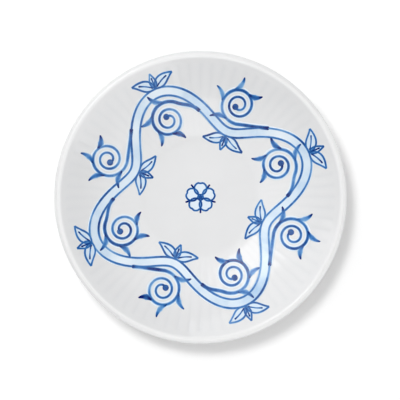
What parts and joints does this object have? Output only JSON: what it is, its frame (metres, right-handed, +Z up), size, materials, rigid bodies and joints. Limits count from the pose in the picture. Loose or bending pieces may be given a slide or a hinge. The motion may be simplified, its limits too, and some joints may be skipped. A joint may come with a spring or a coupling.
{
  "type": "soy sauce dish",
  "caption": "Shallow round porcelain dish for dipping sauce: ribbed hollow with a flat middle, rolled lip, clear glaze over blue brushwork, and a foot ring with a bare edge.",
  "frame": {"origin": "middle of the plane that the foot ring stands on", "axes": "+Z up along the axis of the dish, from the table to the lip"},
  "size_m": [0.09, 0.09, 0.02],
  "materials": {
    "porcelain": "fired porcelain under the glaze",
    "bare_porcelain": "unglazed, ground smooth",
    "glaze": "clear gloss glaze",
    "cobalt": "blue brushed on under the glaze"
  },
  "bodies": {
    "root": {"dish_body": "porcelain", "foot_ring": "bare_porcelain", "inner_glaze": "glaze", "outer_glaze": "glaze", "foot_well_glaze": "glaze"}
  },
  "joints": []
}
